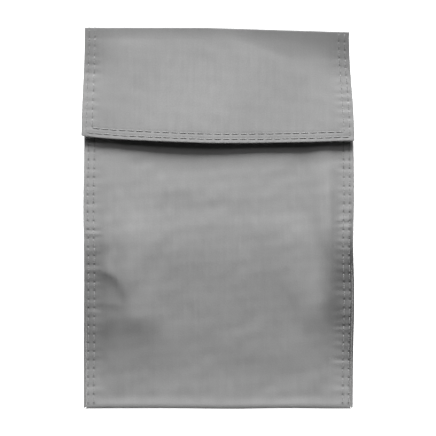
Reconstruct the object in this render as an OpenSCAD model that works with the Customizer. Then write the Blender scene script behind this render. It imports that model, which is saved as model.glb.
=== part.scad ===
// Fire-resistant storage envelope for a battery pack, lying on its back.
// X runs across the bag, Y from the folded bottom up to the flap fold, and Z up from the table.
// The origin is on the table, in the middle of the bag's outline.

/* [Bag] */
// Width of the pouch across its sewn sides
bag_w = 156.4; // [150:0.2:162]
// Length from the folded bottom to the top fold
bag_l = 221; // [215:1:230]
// Height of the front panel over the filled middle
front_h = 7.2; // [7:0.1:7.4]
// Height of the front panel at the mouth
mouth_h = 7; // [6.9:0.1:7.1]
// Distance from the top fold down to the mouth
mouth_drop = 16; // [15:0.5:17]
// Narrowing of each side towards the top fold
top_taper = 1.9; // [0:0.1:3]
// How far the front panel's side edges stay back from the back panel's
front_inset = 1.4; // [0:0.1:1.6]

/* [Seams] */
// Height of the seam's lower face above the table
seam_low = 0.8; // [0.6:0.1:1]
// Height of the seam's upper face above the table
seam_top = 3.2; // [3.2:0.05:3.6]
// Width of the flat sewn band along each side
band_w = 8; // [7:0.5:8.5]
// Width of the flat crease along the folded bottom
crease_w = 7; // [6:0.5:9]
// Width of the turned-in edges
hem_w = 9; // [8.5:0.5:9]

/* [Flap] */
// Length of the flap from the top fold to the middle of its free edge
flap_l = 67; // [66:0.5:70]
// How much shorter the flap is at its corners
flap_bow = 3; // [0:0.5:4]
// Half width of the flap at its free edge
flap_half_w = 79.2; // [78:0.2:81]
// Height of the flap over the closure
flap_h = 10.4; // [10.4:0.1:11]
// Height of the top fold
fold_h = 9.6; // [9:0.1:10]
// Drop of the flap's sides below its middle
flap_drop = 2; // [1:0.1:2.2]
// Lift of the flap's free edge
flap_flare = 1; // [0:0.1:1.5]

/* [Cloth] */
// Thickness of the coated outer cloth
shell_t = 0.4; // [0.3:0.05:0.45]
// Thickness of the lining
lining_t = 0.3; // [0.2:0.05:0.35]

/* [Closure tape] */
// Length of the hook tape and of the loop tape
tape_l = 100; // [80:1:100]
// Width of the tapes
tape_w = 20; // [16:1:20]
// Thickness of the woven backing
tape_back_t = 0.4; // [0.3:0.05:0.45]
// Full thickness of a tape with its hooks or loops
tape_t = 1; // [0.9:0.05:1]
// Plain selvage along each long side of a tape
selvage_w = 2; // [1.5:0.1:2.5]

/* [Stitching] */
// Length of one stitch, from hole to hole
pitch = 5; // [4:0.1:6]
// Radius of the thread
thread_r = 0.2; // [0.15:0.01:0.2]
// Distance of the outer row from a side edge
row_outer = 2.8; // [2.4:0.1:3.2]
// Distance of the inner row from a side edge
row_inner = 6.1; // [5.6:0.1:6.6]
// Distance of the outer row from the flap's free edge
row_low_outer = 2.6; // [2.2:0.1:3]
// Distance of the inner row from the flap's free edge
row_low_inner = 5.6; // [5.2:0.1:6]

/* [Hidden] */

cloth_colour = [0.62, 0.62, 0.62];
lining_colour = [0.72, 0.72, 0.71];
thread_colour = [0.5, 0.5, 0.5];
tape_colour = [0.1, 0.1, 0.11];

// Air between cloths that only touch, and between a thread and the cloth it lies on
air = 0.05;
thread_air = 0.02;
// The same over curved cloth, whose flat facets stand a little proud of the curve between holes
flap_thread_air = 0.12;
hem_thread_air = 0.22;
// Bare stretch at each needle hole, where the thread dives through the cloth
hole_gap = 0.9;
// How far the lining stays back from the edges of the outer cloth
lining_inset = 1;

// The back panel's lift where it meets the top fold, as a share of seam_low
fold_lift = 0.4;
fold_low = seam_low * fold_lift;
fold_r = (fold_h - fold_low) / 2;

half_w = bag_w / 2;
y_bottom = -bag_l / 2;
y_top = bag_l / 2;
y_mouth = y_top - mouth_drop;
y_fold = y_top - fold_r;
bottom_r = (seam_top - seam_low) / 2;
bottom_mid = (seam_top + seam_low) / 2;
y_bend = y_bottom + bottom_r;

// Widths over which the panels rise from their sewn edges
side_rise = 20;
back_rise = 10;
front_rise = 85;
y_front_full = y_bottom + crease_w + front_rise;

// The closure, measured from the start of the fold
tape_mid_s = 39.4;
y_tape = y_fold - tape_mid_s;
y_tape_top = y_tape + tape_w / 2 + 1.5;

// The flap, measured from the start of the fold
flap_rise = 28;
flare_from = 50;
flap_flat_x = 52;
flap_mid_l = flap_l - fold_r;
flap_top_half_w = half_w - top_taper;

seam_cloth_t = 2 * shell_t + air + lining_t;

// Rises smoothly from 0 at t = 0 to 1 at t = 1
function ease(t) = let (c = min(1, max(0, t))) c * c * (3 - 2 * c);

// Half width of the back panel
function half_width(y) = half_w - top_taper * ease((y - y_mouth) / (y_top - y_mouth));

// Half width of the front panel
front_half = half_w - front_inset;

// Upper face of the front panel
function front_z(x, y) =
    let (
        side = ease((front_half - abs(x) - band_w) / side_rise),
        up = ease((y - y_bottom - crease_w) / front_rise) * (front_h - seam_top),
        fall = ease((y - y_tape_top) / (y_mouth - y_tape_top)) * (front_h - mouth_h)
    )
    seam_top + side * (up - fall);

// Lower face of the back panel
function back_z(x, y) =
    let (
        side = ease((half_width(y) - abs(x) - band_w) / back_rise),
        low = ease((y - y_bottom - crease_w) / back_rise),
        top = 1 - fold_lift * ease((y - y_fold + back_rise) / back_rise)
    )
    seam_low * (1 - side * low * top);

// Half width of the flap at a distance s below the fold
function flap_half(s) = flap_top_half_w + (flap_half_w - flap_top_half_w) * s / flap_mid_l;

// Length of the flap along a line at x
function flap_end(x) = flap_mid_l - flap_bow * pow(x / flap_half_w, 2);

// Upper face of the flap
function flap_z(x, s) =
    let (
        up = sin(90 * min(1, s / flap_rise)) * (flap_h - fold_h),
        side = ease((abs(x) - flap_flat_x) / (flap_half_w - flap_flat_x)),
        drop = flap_drop * side * min(1, s / flap_rise),
        flare = flap_flare * ease((s - flare_from) / (flap_mid_l - flare_from))
    )
    fold_h + up - drop + flare;

// 1 where the outer cloth is doubled by a turned-in edge, else 0
function hem(edge) = 1 - ease(edge - hem_w);

// Depth of a layer below the outer face: 0 outer face, 1 its inner face, 2 and 3 the lining's faces
function depth(layer, edge) =
    layer == 0 ? 0 : shell_t * (1 + hem(edge)) + [0, 0, air, air + lining_t][layer];

// Distances from a side edge at which the cloth is given points
function steps(inset) = [inset, band_w, hem_w, hem_w + 1, 13, 17, 21, 25, 28];

// Positions across a cloth of half width half, both sides and the middle
function columns(half, inset) =
    concat(
        [for (d = steps(inset)) d - half],
        [0],
        [for (i = [len(steps(inset)) - 1 : -1 : 0]) half - steps(inset)[i]]
    );

front_slope_steps = 8;
bend_steps = 6;

function front_ys(inset) =
    concat(
        [for (e = [inset, hem_w, hem_w + 1, y_mouth - y_tape_top]) y_mouth - e],
        [for (k = [0 : front_slope_steps]) y_front_full - k * front_rise / front_slope_steps],
        [y_bend]
    );

back_ys =
    concat(
        [for (e = [crease_w, crease_w + 3, crease_w + 7, crease_w + back_rise]) y_bottom + e],
        [y_mouth - hem_w, y_mouth, y_fold - back_rise, y_fold - back_rise / 2, y_fold]
    );

// Rows of points of the pouch's cloth: down the front, round the bottom and up the back
function front_row(y, layer, inset) =
    [for (x = columns(front_half, inset))
        [x, y, front_z(x, y) - depth(layer, min(front_half - abs(x), y_mouth - y))]];

function bend_row(a, layer, inset) =
    let (half = half_w - front_inset * (1 - a / 180))
    [for (x = columns(half, inset))
        let (r = bottom_r - depth(layer, half - abs(x)))
        [x, y_bend - r * sin(a), bottom_mid + r * cos(a)]];

function back_row(y, layer, inset) =
    [for (x = columns(half_width(y), inset))
        [x, y, back_z(x, y) + depth(layer, half_width(y) - abs(x))]];

function pouch_grid(layer, inset) =
    concat(
        [for (y = front_ys(inset)) front_row(y, layer, inset)],
        [for (k = [1 : bend_steps - 1]) bend_row(180 * k / bend_steps, layer, inset)],
        [back_row(y_bend, layer, inset)],
        [for (y = back_ys) back_row(y, layer, inset)]
    );

// Rows of the cloth over the top fold, from the back panel round to the flap
function fold_row(a, layer, inset) =
    [for (x = columns(half_width(y_fold), inset))
        let (
            low = back_z(x, y_fold),
            r = (fold_h - low) / 2 - depth(layer, half_width(y_fold) - abs(x))
        )
        [x, y_fold + r * sin(a), (fold_h + low) / 2 - r * cos(a)]];

function fold_grid(layer, inset) =
    [for (k = [0 : bend_steps]) fold_row(180 * k / bend_steps, layer, inset)];

// Rows of the flap, from the fold to the free edge
flap_upper_s = [0, 4, 8, 12, 17, 22, flap_rise, 44];
flap_lower_e = [hem_w + 1, hem_w, 6, 3];

function flap_point(x, s, layer) =
    let (edge = min(flap_half(s) - abs(x), flap_end(x) - s))
    [x, y_fold - s, flap_z(x, s) - depth(layer, edge)];

function flap_grid(layer, inset) =
    concat(
        [for (s = flap_upper_s)
            [for (x = columns(flap_half(s), inset)) flap_point(x, s, layer)]],
        [for (e = concat(flap_lower_e, [inset]))
            [for (x = columns(flap_half(flap_mid_l - e), inset))
                flap_point(x, flap_end(x) - e, layer)]]
    );

// The two triangles of a four-sided face
function split(a, b, c, d) = [[a, b, c], [a, c, d]];

// Closed cloth between an outer and an inner grid with the same rows and columns
module cloth(outer, inner) {
    rows = len(outer);
    cols = len(outer[0]);
    half = rows * cols;
    skins = [for (r = [0 : rows - 2]) for (c = [0 : cols - 2])
        let (i = r * cols + c)
        for (f = concat(
            split(i, i + 1, i + cols + 1, i + cols),
            split(half + i + cols, half + i + cols + 1, half + i + 1, half + i)
        )) f];
    ends = [for (c = [0 : cols - 2])
        let (z = (rows - 1) * cols + c)
        for (f = concat(
            split(c + 1, c, half + c, half + c + 1),
            split(z, z + 1, half + z + 1, half + z)
        )) f];
    sides = [for (r = [0 : rows - 2])
        let (i = r * cols, j = r * cols + cols - 1)
        for (f = concat(
            split(i, i + cols, half + i + cols, half + i),
            split(j + cols, j, half + j, half + j + cols)
        )) f];
    polyhedron(
        points = [for (g = [outer, inner]) for (r = g) for (p = r) p],
        faces = concat(skins, ends, sides),
        convexity = 8
    );
}

// One stitch lying between two needle holes
module stitch(a, b) {
    run = b - a;
    span = norm(run);
    start = a + run * (hole_gap / 2 / span);
    translate(start)
        rotate([0, acos(run[2] / span), atan2(run[1], run[0])])
            cylinder(h = span - hole_gap, r = thread_r, $fn = 16);
}

// Stitches through each neighbouring pair of a list of needle holes
module stitches(holes) {
    for (i = [0 : len(holes) - 2]) stitch(holes[i], holes[i + 1]);
}

// Evenly spaced numbers from a to b, about one stitch apart
function holes_between(a, b) =
    let (n = max(1, round(abs(b - a) / pitch)))
    [for (i = [0 : n]) a + (b - a) * i / n];

thread_lift = thread_air + thread_r;
seam_row_start = y_bottom + 2.5;
seam_row_end = y_fold - 1;
lower_holes = holes_between(seam_row_start, y_mouth - 0.3);
upper_holes = holes_between(y_mouth + 0.3, seam_row_end);

// One row of a side seam, at x, with its stitches on both faces
module seam_row(x) {
    color(thread_colour) {
        stitches([for (y = lower_holes) [x, y, seam_top + thread_lift]]);
        stitches([for (y = upper_holes) [x, y, seam_low + seam_cloth_t + thread_lift]]);
        stitches([for (y = lower_holes) [x, y, seam_low - thread_lift]]);
        stitches([for (y = upper_holes) [x, y, seam_low - thread_lift]]);
    }
}

// One row round the three free edges of the flap, with its stitches on both faces
module flap_row(side_off, low_off) {
    first_s = 1;
    corner_x = flap_half(flap_mid_l - flap_bow - low_off) - side_off;
    corner_s = flap_end(corner_x) - low_off;
    side_s = holes_between(first_s, corner_s);
    across = holes_between(-corner_x, corner_x);
    over = flap_thread_air + thread_r;
    color(thread_colour)
        for (lift = [over, -seam_cloth_t - over]) {
            for (side = [-1, 1])
                stitches([for (s = side_s)
                    flap_point(side * (flap_half(s) - side_off), s, 0) + [0, 0, lift]]);
            stitches([for (x = across) flap_point(x, flap_end(x) - low_off, 0) + [0, 0, lift]]);
        }
}

// A closure tape lying on a face at z, its pile towards up (1) or down (-1)
module tape(z, up) {
    color(tape_colour)
        translate([0, y_tape, z])
            mirror([0, 0, up < 0 ? 1 : 0]) {
                translate([-tape_l / 2, -tape_w / 2, 0])
                    cube([tape_l, tape_w, tape_back_t]);
                translate([-tape_l / 2, selvage_w - tape_w / 2, 0])
                    cube([tape_l, tape_w - 2 * selvage_w, tape_t]);
            }
}

// The two lines of stitching along a tape's selvages, at height z
module tape_rows(z) {
    color(thread_colour)
        for (side = [-1, 1])
            stitches([for (x = holes_between(1 - tape_l / 2, tape_l / 2 - 1))
                [x, y_tape + side * (tape_w - selvage_w) / 2, z]]);
}

loop_z = front_h + air;
hook_z = flap_h - shell_t - 2 * air - lining_t;

module outer_shell() {
    color(cloth_colour) cloth(pouch_grid(0, 0), pouch_grid(1, 0));
}

module lining() {
    color(lining_colour) cloth(pouch_grid(2, lining_inset), pouch_grid(3, lining_inset));
}

module loop_tape() {
    tape(loop_z, 1);
}

module loop_tape_thread() {
    tape_rows(loop_z + tape_back_t + thread_lift);
}

// Stitches on both faces of the turned-in mouth edge, ending one stitch short of the side bands
module mouth_hem_thread() {
    y = y_mouth - hem_w / 2;
    end_x = half_w - band_w - pitch;
    xs = holes_between(-end_x, end_x);
    over = hem_thread_air + thread_r;
    color(thread_colour)
        for (lift = [over, -seam_cloth_t - over])
            stitches([for (x = xs) [x, y, front_z(x, y) + lift]]);
}

module left_seam_thread_outer() {
    seam_row(row_outer - half_w);
}

module left_seam_thread_inner() {
    seam_row(row_inner - half_w);
}

module right_seam_thread_outer() {
    seam_row(half_w - row_outer);
}

module right_seam_thread_inner() {
    seam_row(half_w - row_inner);
}

module top_fold_shell() {
    color(cloth_colour) cloth(fold_grid(0, 0), fold_grid(1, 0));
}

module top_fold_lining() {
    color(lining_colour) cloth(fold_grid(2, lining_inset), fold_grid(3, lining_inset));
}

// Two stitches of each row, curved over the fold
module top_fold_thread() {
    edge_r = (fold_h - seam_low) / 2;
    span = 66;
    color(thread_colour)
        for (side = [-1, 1])
            for (off = [row_outer, row_inner])
                for (from = [-span - 8, 8])
                    translate([
                        side * (half_width(y_fold) - off),
                        y_fold,
                        (fold_h + seam_low) / 2
                    ])
                        rotate([90, 0, 90])
                            rotate([0, 0, from])
                                rotate_extrude(angle = span, $fn = 48)
                                    translate([edge_r + thread_lift, 0])
                                        circle(r = thread_r, $fn = 16);
}

module flap_shell() {
    color(cloth_colour) cloth(flap_grid(0, 0), flap_grid(1, 0));
}

module flap_lining() {
    color(lining_colour) cloth(flap_grid(2, lining_inset), flap_grid(3, lining_inset));
}

module hook_tape() {
    tape(hook_z, -1);
}

module hook_tape_thread() {
    tape_rows(hook_z - tape_back_t - thread_lift);
}

module flap_thread_outer() {
    flap_row(row_outer, row_low_outer);
}

module flap_thread_inner() {
    flap_row(row_inner, row_low_inner);
}

outer_shell();
lining();
loop_tape();
loop_tape_thread();
mouth_hem_thread();
left_seam_thread_outer();
left_seam_thread_inner();
right_seam_thread_outer();
right_seam_thread_inner();
top_fold_shell();
top_fold_lining();
top_fold_thread();
flap_shell();
flap_lining();
hook_tape();
hook_tape_thread();
flap_thread_outer();
flap_thread_inner();
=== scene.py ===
import math

import bpy
import numpy as np
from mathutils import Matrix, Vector


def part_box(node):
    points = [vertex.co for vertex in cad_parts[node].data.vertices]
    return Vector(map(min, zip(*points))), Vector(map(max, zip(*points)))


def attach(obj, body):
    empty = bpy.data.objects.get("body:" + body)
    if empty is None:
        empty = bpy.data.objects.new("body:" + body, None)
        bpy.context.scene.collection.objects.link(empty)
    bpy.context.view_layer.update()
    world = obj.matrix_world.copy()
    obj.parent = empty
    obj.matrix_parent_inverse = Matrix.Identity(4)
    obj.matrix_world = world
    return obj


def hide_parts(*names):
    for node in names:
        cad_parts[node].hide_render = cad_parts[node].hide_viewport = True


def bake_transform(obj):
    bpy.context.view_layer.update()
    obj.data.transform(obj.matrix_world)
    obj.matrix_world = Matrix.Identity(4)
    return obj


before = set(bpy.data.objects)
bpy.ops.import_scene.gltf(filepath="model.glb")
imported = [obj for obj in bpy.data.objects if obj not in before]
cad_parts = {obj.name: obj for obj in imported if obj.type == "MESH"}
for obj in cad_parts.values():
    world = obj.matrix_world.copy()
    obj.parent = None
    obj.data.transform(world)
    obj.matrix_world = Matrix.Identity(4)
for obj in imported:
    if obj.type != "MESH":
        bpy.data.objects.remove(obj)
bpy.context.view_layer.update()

# Lengths are in millimetres up to the point where a mesh is made.
MM = 0.001


def box_mm(node):
    """Lowest and highest corner of a CAD node, in millimetres."""
    low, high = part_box(node)
    return np.array(low) / MM, np.array(high) / MM


# ---- sizes

shell_low, shell_high = box_mm("outer_shell")
fold_box_high = box_mm("top_fold_shell")[1]
flap_box_low, flap_box_high = box_mm("flap_shell")
loop_low, loop_high = box_mm("loop_tape")
hook_high = box_mm("hook_tape")[1]

half_w = shell_high[0]
y_bottom = shell_low[1]
y_fold = shell_high[1]
front_h = shell_high[2]
y_top = fold_box_high[1]
flap_half_w = flap_box_high[0]
flap_mid_l = y_fold - flap_box_low[1]
y_tape = (loop_low[1] + loop_high[1]) / 2
tape_half_l = loop_high[0]
tape_half_w = (loop_high[1] - loop_low[1]) / 2

# The pouch: height at the mouth, the mouth's distance from the fold, the seams' two faces and widths
mouth_h = 7.0
mouth_drop = 16.0
y_mouth = y_top - mouth_drop
seam_low = 0.8
seam_top = 3.2
band_w = 8.0
crease_w = 7.0
hem_w = 9.0

# The flap: height at the fold, drop of its sides, how soon it drops and where it starts to
flap_h = 10.4
flap_drop = 1.4
flap_rise = 28.0
flap_flat_x = 52.0

# Thicknesses, and how far the lining stays inside the cloth
shell_t = 0.4
lining_t = 0.3
lining_inset = 1.0
air = 0.05
tape_back_t = 0.4
selvage_w = 2.0
seam_cloth_t = 2 * shell_t + air + lining_t

# The bend at the bottom, and how the back panel lifts off the table beside the seams
fold_lift = 0.4
bottom_r = (seam_top - seam_low) / 2
bottom_mid = (seam_top + seam_low) / 2
y_bend = y_bottom + bottom_r
back_rise = 10.0
y_tape_top = y_tape + tape_half_w + 1.5

# Stitch length, thread radius, and each row's distance from a side edge and from the flap's free edge
pitch = 5.0
thread_r = 0.14
row_outer = 2.7
row_inner = 6.1
row_low_outer = 2.6
row_low_inner = 5.6

# The pouch's cloth and the flap's cloth meet on this line, on the back of the bag
y_split = 92.0


# ---- smooth functions


def ease(t):
    c = np.clip(t, 0.0, 1.0)
    return c * c * (3.0 - 2.0 * c)


def ramp(t, start, length):
    """0 up to start, 1 from start + length on, smooth between them."""
    return ease((t - start) / length)


def bell(d, size):
    """1 at d = 0, falling smoothly to nothing over a few times size."""
    return np.exp(-0.5 * (d / size) ** 2)


class Waves:
    """Smooth seeded noise: waves of about one length in many directions, from about -1 to 1.

    A constant added to the place reads another stretch of the same noise.
    """

    def __init__(self, seed, length, count=14):
        rng = np.random.default_rng(seed)
        turn = rng.uniform(0, 2 * math.pi, count)
        size = length * rng.uniform(0.7, 1.5, count)
        self.kx = 2 * math.pi * np.cos(turn) / size
        self.ky = 2 * math.pi * np.sin(turn) / size
        self.phase = rng.uniform(0, 2 * math.pi, count)
        self.gain = math.sqrt(2.0 / count) / 1.6

    def __call__(self, x, y):
        waves = zip(self.kx, self.ky, self.phase)
        return sum(np.cos(kx * x + ky * y + phase) for kx, ky, phase in waves) * self.gain


class Drift:
    """Smooth seeded noise along one line, from about -1 to 1."""

    def __init__(self, seed, length, count=9):
        rng = np.random.default_rng(seed)
        self.k = 2 * math.pi / (length * rng.uniform(0.6, 1.8, count))
        self.phase = rng.uniform(0, 2 * math.pi, count)
        self.gain = math.sqrt(2.0 / count) / 1.6

    def __call__(self, t):
        return sum(np.cos(k * t + phase) for k, phase in zip(self.k, self.phase)) * self.gain


# Each with its own seed and its waves' length in millimetres
middle = Waves(12, 26)
fine = Waves(13, 9)
pucker_drift = Drift(21, 38)
pucker_strength = Drift(22, 30)
edge_drift = Drift(23, 70)
flap_broad = Waves(31, 70)
flap_middle = Waves(32, 24)


# ---- needle holes


def holes_between(a, b, step=pitch):
    count = max(1, round(abs(b - a) / step))
    return a + (b - a) * np.arange(count + 1) / count


lower_holes = holes_between(y_bottom + 2.5, y_mouth - 0.3)
upper_holes = holes_between(y_mouth + 0.3, y_fold - 1.0)


def nearest(t, holes):
    """Distance along a row from t to the nearest of evenly spaced holes."""
    step = (holes[-1] - holes[0]) / (len(holes) - 1)
    k = np.clip(np.round((t - holes[0]) / step), 0, len(holes) - 1)
    return t - (holes[0] + k * step)


# ---- shape of the pouch


# Half widths of the flap at the fold and at its free edge
flap_left_top, flap_left_low = 77.3, 79.7
flap_right_top, flap_right_low = 76.4, 79.4


def flap_half(s, side):
    share = np.clip(s / flap_mid_l, 0.0, 1.0)
    left = flap_left_top + (flap_left_low - flap_left_top) * share
    right = flap_right_top + (flap_right_low - flap_right_top) * share
    return np.where(side > 0, right, left)


# How far the flap's sides stand past the pouch's; the right edge's spread; the front edge's set-back
flap_margin = 0.45
spread_low, spread_more = 0.5, 0.5
inset_high, inset_more = 0.35, 1.3
inset_turn_left, inset_turn_right = -50.0, -24.0


def spread_out(y, side):
    """How far the pouch's right edge lies further out than half the bag's width."""
    return np.where(side > 0, spread_low + spread_more * ramp(y, -104, 70), 0.0)


def drawn_in(y, side):
    """How far the pouch's side edge is drawn in under the flap."""
    under = half_w + spread_out(y, side) + flap_margin - flap_half(y_fold - y, side)
    return np.clip(under, 0.0, None) * ramp(y, 26, 20)


def front_inset(y, side):
    """How far the front panel's turned edge stays back from the back panel's edge: more low down."""
    turn = np.where(side > 0, inset_turn_right, inset_turn_left)
    return inset_high + inset_more * ease((turn - y) / 22.0 + 0.5)


def half_width(y, side):
    return half_w + spread_out(y, side) - drawn_in(y, side)


def front_half(y, side):
    return half_width(y, side) - front_inset(y, side)


tape_margin_x, tape_margin_y = 9, 7


def under_tape(x, y):
    """1 where the closure tape holds the cloth flat, else 0."""
    across = ease((tape_half_l + tape_margin_x - np.abs(x)) / tape_margin_x)
    along = ease((tape_half_w + tape_margin_y - np.abs(y - y_tape)) / tape_margin_y)
    return across * along


# The rise of the front panel: none on the flat strip, steepest in the lower half, level near the flap
crease_y = y_bottom + 6.0
lean_low, lean_full, lean_end = -91.0, -38.0, 2.0
low_lean = 0.5
crease_soft = 2.2
panel_rise = 4.05
rise_ys = np.linspace(y_bottom, y_mouth, 1600)
rise_lean = ease((lean_end - rise_ys) / (lean_end - lean_full)) * ramp(rise_ys, crease_y, crease_soft)
rise_lean = rise_lean * (low_lean + (1 - low_lean) * ease((rise_ys - lean_low + 7) / 14))
rise_sum = np.cumsum(rise_lean)


def rise(y):
    """How much of the front panel's rise is reached at y."""
    return np.interp(y, rise_ys, rise_sum / rise_sum[-1])


crest_wander = 1.2
crest_soft = 0.35


def tuck(x, y, cx, cy, turn, half, bend, size, below, above):
    """A soft fold: a rounded crest along a bowed line, falling away quickly below and slowly above."""
    a = math.radians(turn)
    t = ((x - cx) * math.cos(a) + (y - cy) * math.sin(a)) / half
    down = (x - cx) * math.sin(a) - (y - cy) * math.cos(a) - bend * t * t
    down = down + crest_wander * middle(x + 90, y)
    low = 0.5 * (down + np.hypot(down, crest_soft * below))
    return size * np.exp(-low / below - (low - down) / above - t**4)


# Each fold: middle x and y, turn in degrees, half length, bow, height, fall below, fall above
TUCKS = [
    (-56, -59, 3, 22, 2, 1.2, 12, 45),
    (-61, -35, -34, 14, 8, 0.85, 4.5, 16),
    (-65, -49, -10, 9, 1, 0.4, 4, 14),
    (72, -14, 8, 13, 2, 1.5, 22, 50),
    (62, -51, 32, 15, 3, 0.7, 11, 24),
    (-68, -15, 0, 6, 0, 0.3, 5, 12),
    (70, 14, -10, 8, 0, 0.2, 8, 10),
    (16, -78, -12, 14, 0, 0.12, 8, 16),
]


def front_tucks(x, y):
    return sum(tuck(x, y, *values) for values in TUCKS)


# Width of the slope inside the seams, lift of the seams, height of the flat strip's edge
side_rise = 13.0
seam_rise = 3.3
strip_h = 0.1


def seam_lift(x, y):
    """How far the sewn sides stand off the table: not at the bottom, most just below the flap."""
    along = ramp(y, -98, 96) * (1 - ramp(y, 34, 54))
    return seam_rise * along * ramp(np.abs(x), 40, 26)


def front_shape(x, y):
    """Upper face of the front panel without its relief."""
    side = ease((front_half(y, x) - np.abs(x) - band_w + 1.0) / side_rise)
    fall = ramp(y, 6, 30) * (seam_top + panel_rise - front_h)
    fall = fall + ramp(y, y_tape_top, y_mouth - y_tape_top) * (front_h - mouth_h)
    strip = strip_h * ease((crease_y - y) / 5.0)
    return seam_top + strip + (1 - side) * seam_lift(x, y) + side * (rise(y) * panel_rise - fall)


def inside(x, y):
    """0 on the sewn bands and the bottom crease, 1 inside them."""
    side = ramp(half_w - np.abs(x), 6, 9)
    return side * ramp(y, crease_y, 8) * ramp(y_mouth - y, 4, 10)


class Field:
    """A relief that was worked out on a coarse grid, read smoothly anywhere."""

    def __init__(self, xs, ys, values):
        self.xs, self.ys, self.values = xs, ys, values

    def __call__(self, x, y):
        fx = (np.asarray(x, float) - self.xs[0]) / (self.xs[1] - self.xs[0])
        fy = (np.asarray(y, float) - self.ys[0]) / (self.ys[1] - self.ys[0])
        fx = np.clip(fx, 1.0, len(self.xs) - 2.001)
        fy = np.clip(fy, 1.0, len(self.ys) - 2.001)
        ix, iy = fx.astype(int), fy.astype(int)
        tx, ty = fx - ix, fy - iy
        total = 0.0
        for j, wy in enumerate(cubic(ty)):
            for i, wx in enumerate(cubic(tx)):
                total = total + wx * wy * self.values[iy + j - 1, ix + i - 1]
        return total


def cubic(t):
    """The four weights of a smooth cubic between the two middle ones of four points."""
    return (
        ((2 - t) * t - 1) * t / 2,
        ((3 * t - 5) * t * t + 2) / 2,
        ((4 - 3 * t) * t + 1) * t / 2,
        (t - 1) * t * t / 2,
    )


# ---- cloth simulation of the front panel


def smoothed(values, passes):
    """A grid with every value drawn towards its four neighbours, a number of times."""
    for _ in range(passes):
        wide = np.pad(values, 1, mode="edge")
        beside = wide[:-2, 1:-1] + wide[2:, 1:-1] + wide[1:-1, :-2] + wide[1:-1, 2:]
        values = (4 * values + beside) / 8
    return values


# The share of the settled cloth's folds that is kept, and how they are limited and smoothed
slack_kept = 0.12
slack_limit = 1.6
slack_passes = 10
settle_step = 2.0
settle_frames = 24
least_held = 0.12
ripple_h = 0.03
CLOTH = {
    "quality": 6,
    "mass": 0.25,
    "air_damping": 3.0,
    "tension_stiffness": 25.0,
    "compression_stiffness": 25.0,
    "shear_stiffness": 12.0,
    "bending_stiffness": 6.0,
    "vertex_group_mass": "held",
    "pin_stiffness": 1.0,
    "shrink_min": -0.002,
    "shrink_max": -0.002,
}


def simulate_front():
    """The front panel as a slightly loose cloth, sewn down all round: its relief after settling."""
    xs = np.arange(-half_w + 6, half_w - 5.9, settle_step)
    ys = np.arange(y_bottom + 5, y_mouth + 1.1, settle_step)
    gx, gy = np.meshgrid(xs, ys)
    start = front_shape(gx, gy) + front_tucks(gx, gy) * inside(gx, gy)
    start = start + ripple_h * middle(gx, gy) * inside(gx, gy)
    rows, cols = gx.shape
    points = np.stack([gx, gy, start], -1).reshape(-1, 3) * MM
    faces = []
    for r in range(rows - 1):
        for c in range(cols - 1):
            i = r * cols + c
            faces.append((i, i + 1, i + cols + 1, i + cols))
    mesh = bpy.data.meshes.new("settling")
    mesh.from_pydata(points.tolist(), [], faces)
    cloth = bpy.data.objects.new("settling", mesh)
    bpy.context.scene.collection.objects.link(cloth)
    held = cloth.vertex_groups.new(name="held")
    loose = inside(gx, gy).ravel()
    taped = under_tape(gx, gy).ravel()
    weights = np.clip(1.0 - loose * (1 - taped), least_held, 1.0)
    for i, w in enumerate(weights):
        held.add([i], float(w), "REPLACE")
    mod = cloth.modifiers.new("cloth", "CLOTH")
    for key, value in CLOTH.items():
        setattr(mod.settings, key, value)
    mod.settings.effector_weights.gravity = 0.02
    scene = bpy.context.scene
    for span in (scene, mod.point_cache):
        span.frame_start, span.frame_end = 1, settle_frames
    for f in range(1, settle_frames + 1):
        scene.frame_set(f)
    depsgraph = bpy.context.evaluated_depsgraph_get()
    done = cloth.evaluated_get(depsgraph).to_mesh()
    co = np.zeros(len(done.vertices) * 3)
    done.vertices.foreach_get("co", co)
    cloth.evaluated_get(depsgraph).to_mesh_clear()
    change = co.reshape(rows, cols, 3)[:, :, 2] / MM - start
    change = smoothed(np.clip(change, -slack_limit, slack_limit), slack_passes) * slack_kept
    bpy.data.objects.remove(cloth)
    bpy.data.meshes.remove(mesh)
    scene.frame_set(1)
    return Field(xs, ys, change)


settled_front = simulate_front()


# ---- relief of the cloths


# Heights of the relief, and the shares of it at the mouth's and the flap's rows of stitches
groove_h, dimple_h = 0.025, 0.07
side_pucker_h, flap_pucker_h = 0.045, 0.015
fine_h = 0.02
hem_row_share, flap_row_share = 0.7, 0.9


def row_relief(across, along, strength):
    """Pull of one stitch row on its cloth: a faint groove, with a dimple at every hole."""
    groove = groove_h * bell(across, 0.6)
    dimple = dimple_h * bell(np.hypot(across, along), 0.45)
    return -(groove + dimple) * strength


def pucker(depth_in, along, step, phase):
    """Short ridges across a seam, one to a stitch, from the edge to a little inside the inner row."""
    window = ease(depth_in / 1.5) * (1 - ease((depth_in - row_inner - 0.5) / 6.0))
    return window * np.cos(2 * math.pi * along / step + phase)


def side_pucker(x, y, side_half):
    """Puckers along both side seams of the front panel."""
    depth_in = side_half - np.abs(x)
    right = 0.45 + 0.55 * ease((20 - y) / 20) * ramp(y, -95, 12)
    left = 0.35 + 0.5 * ease((0 - y) / 10) * ramp(y, -66, 10)
    strength = np.where(x > 0, right, left) * (0.75 + 0.6 * pucker_strength(2.2 * y + 200 * (x > 0)))
    phase = 1.1 * pucker_drift(y + 300 * (x > 0)) * (1 + depth_in / 12)
    step = lower_holes[1] - lower_holes[0]
    wave = pucker(depth_in, y - lower_holes[0], step, math.pi + phase)
    return side_pucker_h * strength * wave


def front_relief(x, y):
    """Soft relief of the front panel: dents, looseness and small ripples."""
    free = inside(x, y) * (1 - under_tape(x, y))
    soft = front_tucks(x, y) + ripple_h * middle(x, y) + settled_front(x, y)
    return free * soft + fine_h * fine(x, y) * (1 - under_tape(x, y))


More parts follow.
